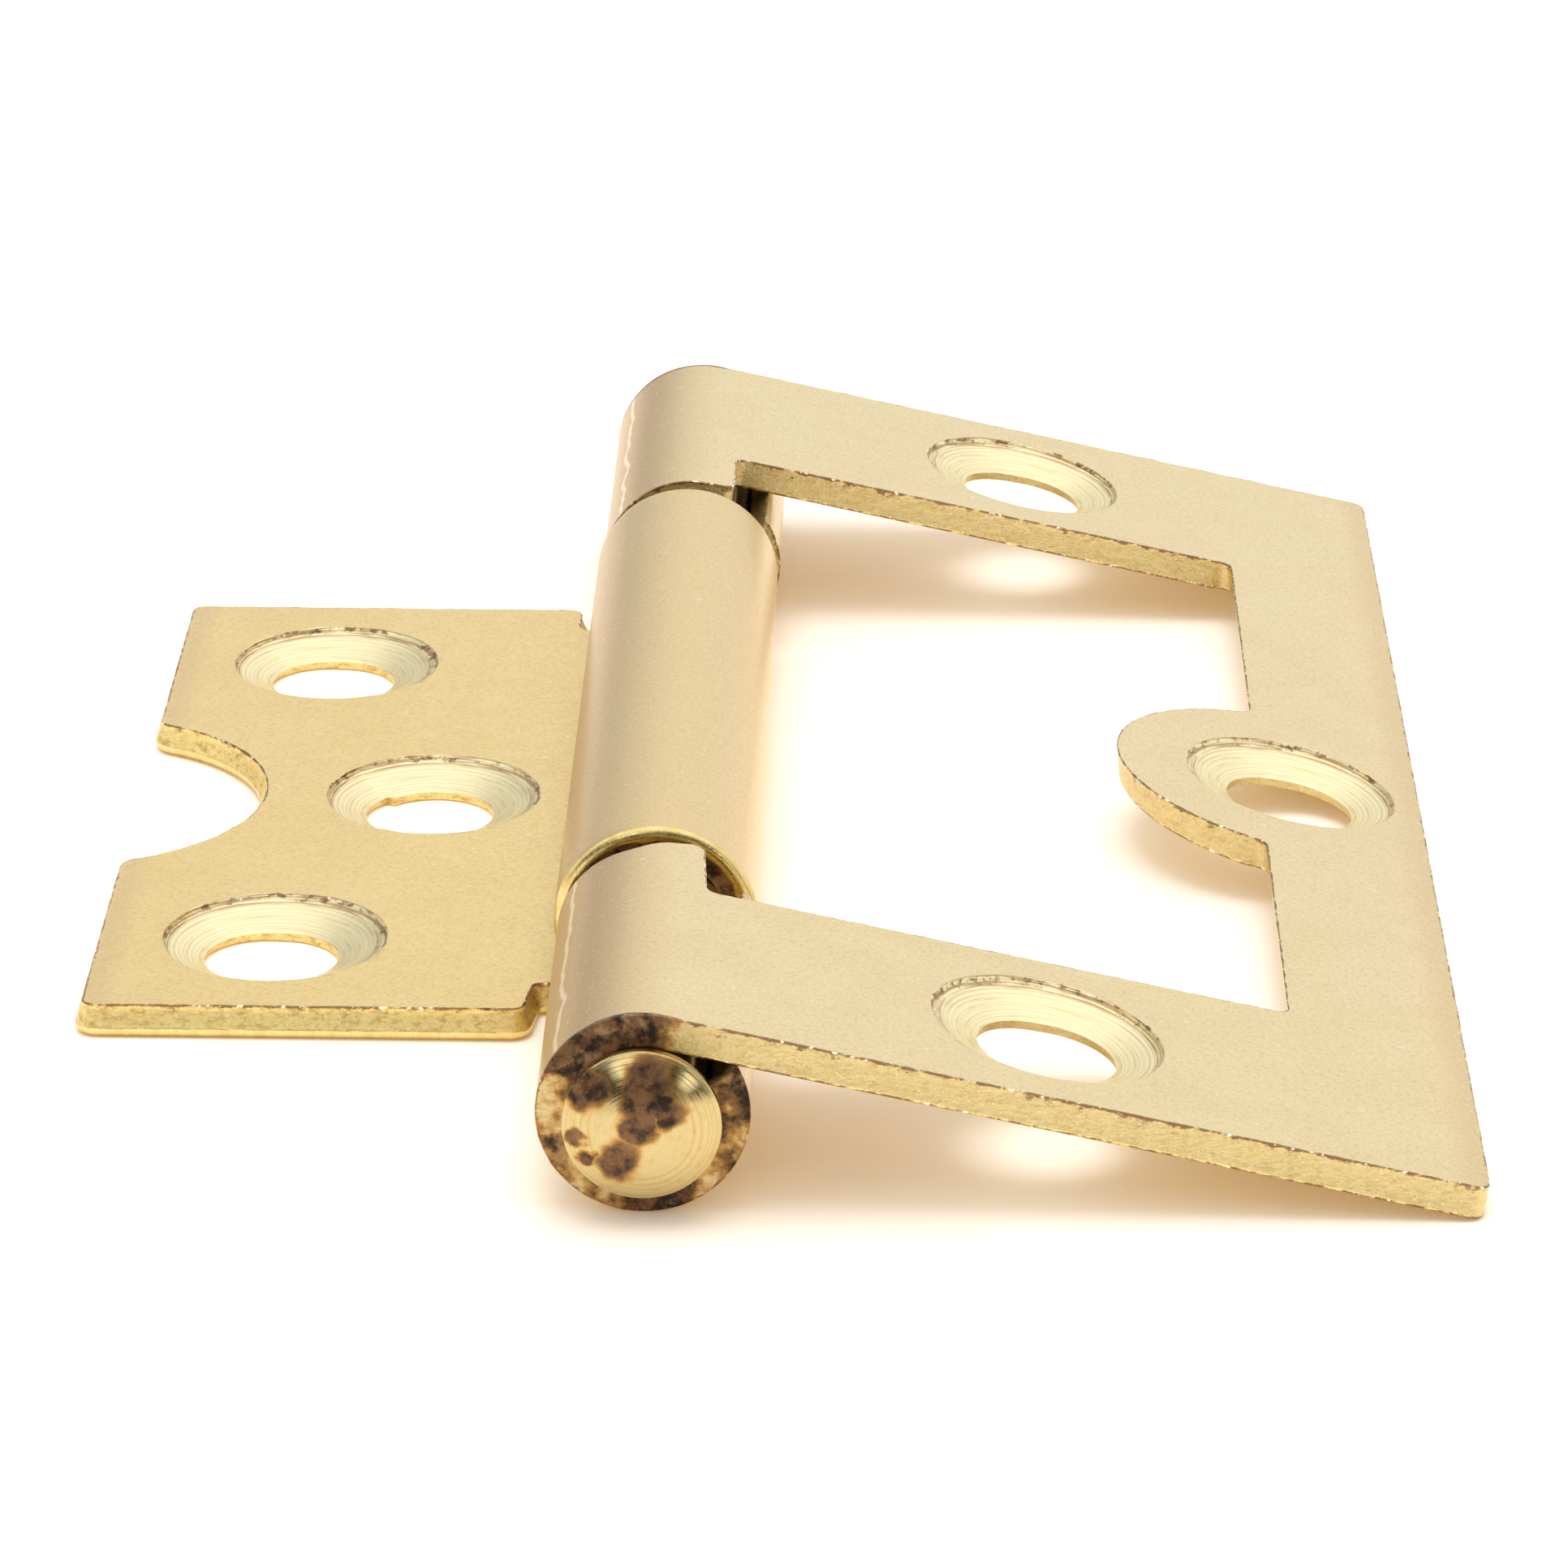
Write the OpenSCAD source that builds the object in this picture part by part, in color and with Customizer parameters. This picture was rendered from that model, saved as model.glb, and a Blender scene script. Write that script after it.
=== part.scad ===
// Flush door hinge, 76 mm (3 inch) size. Two leaves are pressed and rolled from one
// thickness of sheet and turn on one riveted pin. The inner leaf fits inside the
// outer leaf's window, so the closed hinge is one sheet thick beside the barrel.
//
// Frame: the pin runs along Y with its middle at y = 0 and its axis above x = 0.
// The inner leaf lies on z = 0 and points to -X. The outer leaf points to +X and
// slopes down until its free edge touches z = 0.

/* [Sheet and barrel] */
// Thickness of the sheet
sheet_t = 1.3; // [1.1:0.05:1.5]
// Outer radius of the rolled knuckles
barrel_r = 3.95; // [3.8:0.05:4.2]
// Angle before the flat at which the rolled edge of a knuckle stops
curl_gap_angle = 45; // [36:1:48]
// Gap between the rolled edge of a knuckle and its own flat
seam = 0.08; // [0.05:0.01:0.15]

/* [Outer leaf] */
// Length of the outer leaf, which is the length of the hinge
outer_len = 76; // [74:1:80]
// Width from the pin axis to the free edge
outer_w = 31; // [30:0.5:33]
// Half the length of the window
window_half = 25.4; // [25:0.1:26]
// Distance from the pin axis to the window's far edge
window_w = 24; // [23.8:0.1:24.4]
// Distance from the pin axis to the window's edge beside each end knuckle
window_root = 1.1; // [0.8:0.1:1.4]
// Distance from the middle of the hinge to the inner end of each end knuckle
end_knuckle_from = 21.3; // [21:0.1:22]
// Distance from the middle of the hinge to each arm's screw hole
arm_hole_y = 31.7; // [31:0.1:32.4]
// Distance from the pin axis to the arms' screw holes
arm_hole_w = 14.4; // [13:0.1:16]

/* [Tab of the outer leaf] */
// Radius of the round tab that stands into the window
tab_r = 7.45; // [7.2:0.05:7.6]
// Distance from the pin axis to the centre of the tab and its screw hole
tab_w = 25.4; // [25.2:0.1:25.8]
// How far the tab and its screw hole sit from the middle of the leaf
tab_y = -0.6; // [-0.6:0.1:0.6]
// Radius of the blend where the tab meets the leaf
tab_blend_r = 0.6; // [0.4:0.1:0.8]

/* [Inner leaf] */
// Half the length of the inner leaf
inner_half = 22.5; // [22:0.1:23]
// Width from the pin axis to the free edge
inner_w = 22.5; // [22.2:0.1:22.8]
// Half the length of the middle knuckle
mid_knuckle_half = 19.9; // [19.5:0.1:20.3]
// Distance from the pin axis to the relief cut beside each end of the barrel
relief_w = 4.95; // [4.8:0.05:5.3]
// Distance from the middle of the hinge to the outer two screw holes
inner_hole_y = 15.5; // [15:0.1:16]
// Distance from the pin axis to the outer two screw holes
inner_hole_w = 15.5; // [15:0.1:16]
// Distance from the pin axis to the middle screw hole
mid_hole_w = 10.2; // [9.8:0.1:10.6]
// Radius of the round notch that takes the tab
notch_r = 8.35; // [8.2:0.05:8.6]
// Distance from the pin axis to the centre of the notch
notch_w = 25.6; // [25.4:0.1:26]
// Radius of the blend at each corner of the notch
notch_blend_r = 0.9; // [0.6:0.1:1.1]

/* [Screw holes] */
// Radius of a screw hole through the sheet
hole_r = 2.5; // [2.2:0.05:2.6]
// Radius of the countersink at the surface, for a 4 mm countersunk screw
sink_r = 4.45; // [4.2:0.05:4.6]
// Straight length of a screw hole under its countersink
hole_land = 0.35; // [0.25:0.05:0.5]

/* [Pin] */
// Radial clearance between the pin and the knuckles
pin_clearance = 0.05; // [0.03:0.01:0.1]
// Length of bare pin between a knuckle's end and a head
head_gap = 0.3; // [0.1:0.05:0.6]
// Radius of the riveted head at each end
head_r = 2.95; // [2.8:0.05:3.2]
// Height of the cone under a head
head_cone = 0.4; // [0.2:0.05:0.5]
// Height of the straight rim of a head
head_rim = 0.35; // [0.1:0.05:0.5]
// Height of the dome on top of a head's rim
dome_h = 0.85; // [0.5:0.05:1.2]

/* [Corners] */
// Radius of the leaves' outside corners
corner_r = 0.6; // [0.4:0.1:0.8]
// Radius of the inside corners of the window and the reliefs
inside_r = 0.5; // [0.3:0.1:0.7]

/* [Hidden] */
bore_r = barrel_r - sheet_t;
pin_r = bore_r - pin_clearance;
// Slope of the outer leaf when both leaves lie on a flat surface
tilt = asin(barrel_r / norm([outer_w, bore_r])) + atan(bore_r / outer_w);
// Half the length of the pin without its heads
pin_half = outer_len / 2 + head_gap;
// Radius of the sphere that tops a head
dome_r = (head_r * head_r + dome_h * dome_h) / (2 * dome_h);
sink_depth = sheet_t - hole_land;
over = 1;
brass = [0.86, 0.78, 0.58];
steel = [0.72, 0.62, 0.42];
$fn = 96;

// Rectangle between two corners, with round corners of radius r
module rounded_rect(low, high, r) {
    translate(low + [r, 0]) square(high - low - [2 * r, 0]);
    translate(low + [0, r]) square(high - low - [0, 2 * r]);
    for (x = [low.x + r, high.x - r], y = [low.y + r, high.y - r])
        translate([x, y]) circle(r = r);
}

// Flare between a straight edge at x = edge and a circle of radius r centred past it
module flare(edge, centre, r, blend_r) {
    past = centre - edge;
    blend_y = sqrt(pow(r + blend_r, 2) - pow(past + blend_r, 2));
    difference() {
        polygon([
            [edge - blend_r, blend_y],
            [edge, blend_y],
            [edge, blend_y * past / (past + blend_r)]
        ]);
        translate([edge - blend_r, blend_y]) circle(r = blend_r);
    }
}

// Round tongue that stands from the edge at x = edge towards the pin, blended into it
module tongue(edge, centre, r, blend_r) {
    translate([centre, 0]) circle(r = r);
    flare(edge, centre, r, blend_r);
    mirror([0, 1]) flare(edge, centre, r, blend_r);
}

// Section of a knuckle across the pin. The pin axis is the origin, and the flat
// goes on along +X from the top. The rolled edge stops under the flat.
module knuckle_section() {
    reach = 2 * barrel_r;
    difference() {
        circle(r = barrel_r);
        circle(r = bore_r);
        translate([0, bore_r - seam]) square(reach);
        polygon([[0, 0], [0, reach], reach * [cos(90 - curl_gap_angle), sin(90 - curl_gap_angle)]]);
    }
}

// Knuckle along the pin, from y = from to y = to
module knuckle(from, to) {
    translate([0, to, 0]) rotate([90, 0, 0]) linear_extrude(to - from) knuckle_section();
}

// Screw hole through the flat at w across and y along. It is countersunk from the
// outside of the sheet (side = 1) or from the side of the barrel (side = -1).
module screw_hole(w, y, side) {
    translate([w, y, bore_r + sheet_t / 2]) rotate([side < 0 ? 180 : 0, 0, 0]) {
        translate([0, 0, -sheet_t / 2 - over]) cylinder(r = hole_r, h = sheet_t + over);
        translate([0, 0, sheet_t / 2 - sink_depth]) cylinder(r1 = hole_r, r2 = sink_r, h = sink_depth);
        translate([0, 0, sheet_t / 2]) cylinder(r = sink_r, h = over);
    }
}

// Window of the outer leaf: a rectangle with the tab standing into it
module window_plan() {
    difference() {
        union() {
            rounded_rect([window_root, -window_half], [window_w, window_half], inside_r);
            translate([-over, -end_knuckle_from]) square([window_w / 2, 2 * end_knuckle_from]);
        }
        translate([0, tab_y]) tongue(window_w, tab_w, tab_r, tab_blend_r);
    }
}

// Outline of the outer leaf's flat, with the pin axis at x = 0
module outer_plan() {
    difference() {
        union() {
            translate([0, -outer_len / 2]) square([outer_w / 2, outer_len]);
            rounded_rect([barrel_r, -outer_len / 2], [outer_w, outer_len / 2], corner_r);
        }
        window_plan();
    }
}

// Outline of the inner leaf's flat, with the pin axis at x = 0
module inner_plan() {
    difference() {
        union() {
            translate([0, -mid_knuckle_half]) square([inner_w / 2, 2 * mid_knuckle_half]);
            rounded_rect([relief_w, -inner_half], [inner_w, inner_half], corner_r);
        }
        tongue(inner_w, notch_w, notch_r, notch_blend_r);
    }
}

module outer_leaf() {
    color(brass) translate([0, 0, barrel_r]) rotate([0, tilt, 0]) {
        difference() {
            translate([0, 0, bore_r]) linear_extrude(sheet_t) outer_plan();
            for (side = [-1, 1]) screw_hole(arm_hole_w, side * arm_hole_y, 1);
            screw_hole(tab_w, tab_y, 1);
        }
        knuckle(-outer_len / 2, -end_knuckle_from);
        knuckle(end_knuckle_from, outer_len / 2);
    }
}

module inner_leaf() {
    color(brass) translate([0, 0, barrel_r]) rotate([0, 180, 0]) {
        difference() {
            translate([0, 0, bore_r]) linear_extrude(sheet_t) inner_plan();
            for (side = [-1, 1]) screw_hole(inner_hole_w, side * inner_hole_y, -1);
            screw_hole(mid_hole_w, 0, -1);
        }
        knuckle(-mid_knuckle_half, mid_knuckle_half);
    }
}

// Head on the +Y end of the pin, from the end of the bare pin at y = 0
module pin_head() {
    rotate([-90, 0, 0]) {
        cylinder(r1 = pin_r, r2 = head_r, h = head_cone);
        translate([0, 0, head_cone]) cylinder(r = head_r, h = head_rim);
        translate([0, 0, head_cone + head_rim]) intersection() {
            cylinder(r = head_r, h = dome_h);
            translate([0, 0, dome_h - dome_r]) sphere(r = dome_r);
        }
    }
}

module hinge_pin() {
    color(steel) translate([0, 0, barrel_r]) {
        translate([0, pin_half, 0]) rotate([90, 0, 0]) cylinder(r = pin_r, h = 2 * pin_half);
        for (end = [0, 1]) mirror([0, end, 0]) translate([0, pin_half, 0]) pin_head();
    }
}

inner_leaf();
outer_leaf();
hinge_pin();
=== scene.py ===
"""Looks of a 76 mm flush door hinge that lies open on a pale table.

Lengths in this file are in millimetres until a mesh is written, and then in metres.
A leaf is drawn flat, as (w, y). w is the distance from the line where the sheet starts to roll
round the pin, and it is below zero in the rolled part. y runs along the pin.
Depth is measured through the sheet, from the barrel's outside.
"""

import math

import bpy
import numpy as np
from mathutils import Matrix, Vector, noise
from mathutils.geometry import delaunay_2d_cdt


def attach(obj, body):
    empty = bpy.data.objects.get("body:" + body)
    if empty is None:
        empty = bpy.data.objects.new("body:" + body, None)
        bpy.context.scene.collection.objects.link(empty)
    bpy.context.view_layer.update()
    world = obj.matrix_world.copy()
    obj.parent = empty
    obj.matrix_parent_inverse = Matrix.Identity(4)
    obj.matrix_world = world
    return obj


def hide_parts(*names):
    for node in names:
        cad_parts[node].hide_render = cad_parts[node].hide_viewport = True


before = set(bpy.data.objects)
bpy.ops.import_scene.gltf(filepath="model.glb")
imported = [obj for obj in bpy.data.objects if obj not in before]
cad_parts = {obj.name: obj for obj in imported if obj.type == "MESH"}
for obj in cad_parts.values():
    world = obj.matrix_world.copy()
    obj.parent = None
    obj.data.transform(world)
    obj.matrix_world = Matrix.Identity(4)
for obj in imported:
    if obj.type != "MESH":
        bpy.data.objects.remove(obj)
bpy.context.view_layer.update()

MM = 0.001

# Sheet and barrel
SHEET = 1.3
BARREL_R = 3.95
BORE_R = BARREL_R - SHEET
CURL_END = math.radians(315)
SEAM_PLANE = BORE_R - 0.08
SEAM_FROM = math.radians(270)
CURL_W = -BARREL_R * CURL_END
MID_ROLL_R = 4.0
MID_SHIFT = 0.15
MID_CURL_W = MID_SHIFT - MID_ROLL_R * CURL_END

# Outer leaf
OUTER_HALF = 38.0
OUTER_W = 31.0
WINDOW_HALF = 25.4
WINDOW_W = 24.0
WINDOW_ROOT = 1.1
END_KNUCKLE_FROM = 21.3
ARM_HOLE = (14.4, 31.7)
TAB_R = 7.45
TAB_W = 25.4
TAB_Y = -0.6
TAB_BLEND = 0.6
TILT = math.asin(BARREL_R / math.hypot(OUTER_W, BORE_R)) + math.atan(BORE_R / OUTER_W)

# Inner leaf
INNER_HALF = 22.5
INNER_W = 22.5
MID_KNUCKLE_HALF = 19.9
RELIEF_W = 4.95
INNER_HOLE = (15.5, 15.5)
MID_HOLE_W = 10.2
NOTCH_R = 8.35
NOTCH_W = 25.6
NOTCH_BLEND = 0.9

# Screw holes, pin and corners
HOLE_R = 2.5
SINK_R = 4.45
HOLE_LAND = 0.35
PIN_R = BORE_R - 0.05
HEAD_GAP = 0.3
HEAD_R = 2.95
HEAD_CONE = 0.4
HEAD_RIM = 0.35
DOME_H = 0.85
CORNER_R = 0.6
CUT_CORNER_R = 0.5
INSIDE_R = 0.5

# Marks of the press and the drill
UNDERCUT = 0.5
ROLLED_UNDERCUT = 1.6
TORN_BAND = 0.36
BAND_SHIFT = (0.08, -0.08)
SKEW = 0.45
OUTER_FLARE = 0.08
INNER_FLARE = 0.28

# Mesh spacing
OUTLINE_STEP = 0.3
ROLL_STEP = 0.25
ROLL_STEP_Y = 1.3
FLAT_STEP = 2.0
CLEAR_OF_EDGE = 0.15
HOLE_POINTS = 120
PIN_POINTS = 128
DOME_RINGS = 60
SHARP_ANGLE = math.radians(32)


# ---------------------------------------------------------------- outlines

def fillet(before, corner, after, r):
    """Arc that rounds a corner of an outline: its centre, radius, first angle and signed turn."""
    a, b, c = (np.array(p[:2], float) for p in (before, corner, after))
    d0 = (b - a) / np.linalg.norm(b - a)
    d1 = (c - b) / np.linalg.norm(c - b)
    turn = math.atan2(d0[0] * d1[1] - d0[1] * d1[0], d0 @ d1)
    start = b - d0 * r * math.tan(abs(turn) / 2)
    centre = start + math.copysign(r, turn) * np.array([-d0[1], d0[0]])
    ray = start - centre
    return centre, r, math.atan2(ray[1], ray[0]), turn


def bay(edge, centre, r, blend_r, y, side):
    """Three arcs of a round notch (side 1) or tab (side -1) on the straight edge at w = edge."""
    past = centre - edge
    rise = math.sqrt((r + blend_r) ** 2 - (past + blend_r) ** 2)
    swing = side * math.atan2(rise, past + blend_r)
    first = np.array([edge - blend_r, y - side * rise])
    last = np.array([edge - blend_r, y + side * rise])
    return [
        (first, blend_r, 0.0, swing),
        (np.array([centre, y]), r, math.pi + swing, -2 * swing),
        (last, blend_r, -swing, swing),
    ]


def arc_point(arc, share):
    """Point and inward direction on an arc. The material is on the left of the path."""
    centre, r, start, turn = arc
    angle = start + turn * share
    ray = np.array([math.cos(angle), math.sin(angle)])
    return centre + r * ray, -math.copysign(1, turn) * ray


def outline(parts):
    """Arcs of a closed outline, from corners (w, y, radius) and ready arcs."""
    ends = [(p, p) if len(p) == 3 else (arc_point(p, 0)[0], arc_point(p, 1)[0]) for p in parts]
    arcs = []
    for k, part in enumerate(parts):
        after = ends[(k + 1) % len(parts)][0]
        arcs.append(fillet(ends[k - 1][1], part, after, part[2]) if len(part) == 3 else part)
    return arcs


def trace(arcs, step):
    """Points along a closed outline, with the direction into the material at each."""
    points, inward = [], []
    for k, arc in enumerate(arcs):
        line_from, line_to = arc_point(arcs[k - 1], 1)[0], arc_point(arc, 0)[0]
        way = line_to - line_from
        length = np.linalg.norm(way)
        for i in range(1, max(1, round(length / step))):
            points.append(line_from + way * i / max(1, round(length / step)))
            inward.append(np.array([-way[1], way[0]]) / length)
        pieces = max(6, math.ceil(abs(arc[3]) * arc[1] / step))
        for i in range(pieces + 1):
            point, normal = arc_point(arc, i / pieces)
            if not points or np.linalg.norm(point - points[-1]) > 1e-4:
                points.append(point)
                inward.append(normal)
    if np.linalg.norm(points[0] - points[-1]) < 1e-4:
        points.pop()
        inward.pop()
    return np.array(points), np.array(inward)


def hole_outline(w, y):
    """Screw hole's circle, walked so that the sheet is on the left."""
    angles = -np.linspace(0, 2 * math.pi, HOLE_POINTS, endpoint=False)
    rays = np.stack([np.cos(angles), np.sin(angles)], 1)
    return np.array([w, y]) + HOLE_R * rays, rays


def outer_outline():
    """Outer leaf's edge. The near knuckle's inner end is cut slightly askew."""
    knuckle_end = END_KNUCKLE_FROM
    return outline([
        (OUTER_W, -OUTER_HALF, CORNER_R),
        (OUTER_W, OUTER_HALF, CORNER_R),
        (CURL_W, OUTER_HALF, CUT_CORNER_R),
        (CURL_W, knuckle_end, CUT_CORNER_R),
        (WINDOW_ROOT, knuckle_end, CUT_CORNER_R),
        (WINDOW_ROOT, WINDOW_HALF, INSIDE_R),
        (WINDOW_W, WINDOW_HALF, INSIDE_R),
        *bay(WINDOW_W, TAB_W, TAB_R, TAB_BLEND, TAB_Y, -1),
        (WINDOW_W, -WINDOW_HALF, INSIDE_R),
        (WINDOW_ROOT + 0.1, -WINDOW_HALF, INSIDE_R),
        (WINDOW_ROOT - 0.1, -knuckle_end + SKEW, CUT_CORNER_R),
        (-1.9, -knuckle_end - SKEW, 1.5),
        (-6.0, -knuckle_end, 3.0),
        (CURL_W, -knuckle_end, CUT_CORNER_R),
        (CURL_W, -OUTER_HALF, CUT_CORNER_R),
    ])


def inner_outline():
    """Inner leaf's edge, with the notch for the tab and a relief at each end of the barrel."""
    return outline([
        (INNER_W, -INNER_HALF, CORNER_R),
        *bay(INNER_W, NOTCH_W, NOTCH_R, NOTCH_BLEND, 0, 1),
        (INNER_W, INNER_HALF, CORNER_R),
        (RELIEF_W, INNER_HALF, CORNER_R),
        (RELIEF_W, MID_KNUCKLE_HALF, INSIDE_R),
        (MID_CURL_W, MID_KNUCKLE_HALF, CUT_CORNER_R),
        (MID_CURL_W, -MID_KNUCKLE_HALF, CUT_CORNER_R),
        (RELIEF_W, -MID_KNUCKLE_HALF, INSIDE_R),
        (RELIEF_W + 0.3, -INNER_HALF, CORNER_R),
    ])


# ---------------------------------------------------------------- edge profiles

SATIN, SHEARED, TURNED, BURNISHED = 0, 1, 2, 3


def sheared_profile(flare, roll_w, roll_d, stain):
    """Punched edge from its burr to its other side, which stands out by flare and is rolled over.

    Stain is how brown the rolled side gets. A ring is (offset inwards, depth, how far the offset
    wanders, how far the depth wanders, fleck, finish of the faces below it).
    """
    wall_end = SHEET - roll_d
    rings = [
        (0.40, 0.000, 0.000, 0.000, 0.00, SATIN),
        (0.13, 0.000, 0.030, 0.004, 0.25, SATIN),
        (0.05, -0.008, 0.022, 0.016, 0.95, SATIN),
        (0.00, 0.030, 0.016, 0.020, 1.00, SHEARED),
        (0.010, 0.11, 0.018, 0.024, 0.65, SHEARED),
        (0.016, wall_end * 0.28, 0.020, 0.020, 0.50, SHEARED),
        (0.010, wall_end * 0.48, 0.022, 0.020, 0.30, SHEARED),
        (0.018, wall_end * 0.68, 0.020, 0.020, 0.18, SHEARED),
        (0.010, wall_end * 0.86, 0.018, 0.030, 0.20, SHEARED),
        (0.000, wall_end - 0.02, 0.000, 0.020, 0.10, BURNISHED),
    ]
    pieces = 6
    for i in range(pieces + 1):
        angle = math.pi / 2 * i / pieces
        offset = roll_w * (1 - math.cos(angle))
        depth = SHEET - roll_d * (1 - math.sin(angle))
        rings.append((offset, depth, 0, 0, stain * (0.8 + 0.2 * i / pieces), BURNISHED))
    rings[-1] = rings[-1][:5] + (SATIN,)
    rings.append((0.40 + flare, SHEET, 0, 0, 0, SATIN))
    leaned = []
    for offset, depth, sway, dip, fleck, kind in rings:
        lean = flare * min(1.0, max(0.0, depth - 0.25) / (wall_end - 0.25))
        leaned.append((offset - lean, depth, sway, dip, fleck, kind))
    return leaned


def countersink_profile():
    """Screw hole from the countersunk side through, with the tool's ring marks on the cone."""
    rings = [
        (SINK_R - HOLE_R + 0.30, 0.000, 0, 0, 0.0, SATIN),
        (SINK_R - HOLE_R + 0.05, -0.006, 0.03, 0.006, 0.5, TURNED),
        (SINK_R - HOLE_R, 0.030, 0.02, 0.006, 0.75, TURNED),
        (SINK_R - HOLE_R - 0.06, 0.130, 0.02, 0.010, 0.7, TURNED),
        (SINK_R - HOLE_R - 0.17, 0.165, 0.02, 0.010, 0.6, TURNED),
        (SINK_R - HOLE_R - 0.22, 0.215, 0.02, 0.010, 0.6, TURNED),
        (SINK_R - HOLE_R - 0.32, 0.245, 0.01, 0.006, 0.3, TURNED),
        (SINK_R - HOLE_R - 0.36, 0.280, 0.01, 0.006, 0.3, TURNED),
    ]
    marks = 14
    top_offset, top_depth = rings[-1][0], rings[-1][1] + 0.012
    for i in range(1, marks):
        share = i / marks
        groove = 0.002 * (1 if i % 2 else -1)
        offset = top_offset * (1 - share)
        depth = top_depth + (SHEET - HOLE_LAND - top_depth) * share + groove
        rings.append((offset, depth, 0, 0.004, 0, TURNED))
    rings += [
        (0.000, SHEET - HOLE_LAND, 0.006, 0.006, 0.4, SHEARED),
        (0.000, SHEET - 0.15, 0.006, 0.006, 0.4, SHEARED),
        (0.000, SHEET - 0.04, 0.006, 0.006, 0.4, SATIN),
        (0.050, SHEET, 0, 0, 0, SATIN),
        (0.300, SHEET, 0, 0, 0, SATIN),
    ]
    return rings


# ---------------------------------------------------------------- sheet

def section(w, depth, roll_r, tangent_w):
    """Where the flat drawing's points go, as (along the flat, along its normal) from the pin axis."""
    angle = np.maximum(tangent_w - w, 0) / roll_r
    r = roll_r - depth
    along = np.where(angle > 0, tangent_w - r * np.sin(angle), w)
    up = np.where(angle > 0, r * np.cos(angle), r)
    seam = (angle > SEAM_FROM) & (up > SEAM_PLANE)
    return along, np.where(seam, SEAM_PLANE, up) + BARREL_R - roll_r


def wander(points, seed):
    """Smooth noise from -1 to 1 at each point of an outline."""
    def at(p):
        coarse = noise.noise(Vector((p[0] * 1.3, p[1] * 1.3, seed)))
        fine = noise.noise(Vector((p[0] * 3.7, p[1] * 3.7, seed + 9.5)))
        return coarse + 0.8 * fine
    return np.array([at(p) for p in points])


def inside(points, loop):
    """True for each point that lies inside the closed loop."""
    x, y = points[:, 0][:, None], points[:, 1][:, None]
    x0, y0 = loop[:, 0], loop[:, 1]
    x1, y1 = np.roll(x0, -1), np.roll(y0, -1)
    crosses = (y0 > y) != (y1 > y)
    with np.errstate(divide="ignore", invalid="ignore"):
        at = x0 + (y - y0) * (x1 - x0) / (y1 - y0)
    return np.sum(crosses & (x < at), axis=1) % 2 == 1


def in_face(points, loops):
    """True for each point inside the first loop and outside the others."""
    keep = inside(points, loops[0])
    for hole in loops[1:]:
        keep &= ~inside(points, hole)
    return keep


def fill_points(loops):
    """Points inside a face, close together where the sheet is rolled."""
    rolled_w = np.arange(CURL_W + 0.2, 0.01, ROLL_STEP)
    rolled_y = np.arange(-OUTER_HALF + 0.7, OUTER_HALF, ROLL_STEP_Y)
    flat_w = np.arange(1.0, OUTER_W, FLAT_STEP)
    flat_y = np.arange(-OUTER_HALF + 1.0, OUTER_HALF, FLAT_STEP)
    grid = [(w, y) for w in rolled_w for y in rolled_y]
    grid += [(w, y) for w in flat_w for y in flat_y]
    grid = np.array(grid)
    grid = grid[in_face(grid, loops)]
    edge = np.concatenate(loops)
    gap = [np.min(np.sum((edge - p) ** 2, axis=1)) for p in grid]
    return grid[np.array(gap) > CLEAR_OF_EDGE ** 2]


def triangles(loops, extra):
    """Triangles that fill the first loop except for the others, indexed along loops and then extra."""
    points = np.concatenate(loops + [extra])
    edges, start = [], 0
    for loop in loops:
        n = len(loop)
        edges += [(start + i, start + (i + 1) % n) for i in range(n)]
        start += n
    found = delaunay_2d_cdt([Vector(p) for p in points], edges, [], 0, 1e-7, True)
    if len(found[0]) != len(points):
        raise ValueError("an outline crosses itself")
    origin = [o[0] for o in found[3]]
    faces = np.array([[origin[v] for v in f] for f in found[2]])
    return faces[in_face(points[faces].mean(axis=1), loops)]


def undercut_share(points, inward):
    """Share of the undercut at each point of an outline: the window's far edge and a rolled end."""
    facing_pin = np.clip(inward[:, 0], 0, 1)
    window = (points[:, 0] > WINDOW_W / 2) & (points[:, 0] < OUTER_W - 2 * CORNER_R)
    rolled_end = points[:, 0] < MID_CURL_W + 3
    return facing_pin * (window + ROLLED_UNDERCUT * rolled_end)


def band_skew(number, offset):
    """Countersinks are not quite true to their rims, so that the torn band is wider on one side."""
    if number == 0:
        return np.zeros(2)
    cone = SINK_R - HOLE_R - TORN_BAND
    share = min(offset / cone, (cone + TORN_BAND - offset) / TORN_BAND)
    return np.array(BAND_SHIFT) * max(share, 0)


def edge_ring(loop, number, k, ring, tarnish_and_gap_shade):
    """Ring k of points round an edge: their places in the flat drawing, depths and values."""
    points, inward = loop
    offset, depth, sway, dip, fleck, _ = ring
    seed = 3.1 * k + 50 * number
    noisy_out = wander(points, seed) * sway
    noisy_down = wander(points, seed + 17) * dip
    shift = offset + noisy_out + UNDERCUT * undercut_share(points, inward) * depth / SHEET
    plan = points + inward * shift[:, None] + band_skew(number, offset)
    walked = np.cumsum(np.linalg.norm(points - np.roll(points, 1, axis=0), axis=1))
    values = {
        "fleck": np.full(len(points), fleck),
        "tarnish_and_gap_shade": np.array([tarnish_and_gap_shade(p[0], p[1], offset, depth) for p in points]),
        "lathe": np.full(len(points), offset + HOLE_R if number else 0.0),
        "run": np.minimum(walked, walked[-1] - walked),
    }
    return plan, depth + noisy_down, values


def strip_faces(a, b, n):
    """Quads between two rings of n points that start at a and at b."""
    return [(a + i, b + i, b + (i + 1) % n, a + (i + 1) % n) for i in range(n)]


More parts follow.
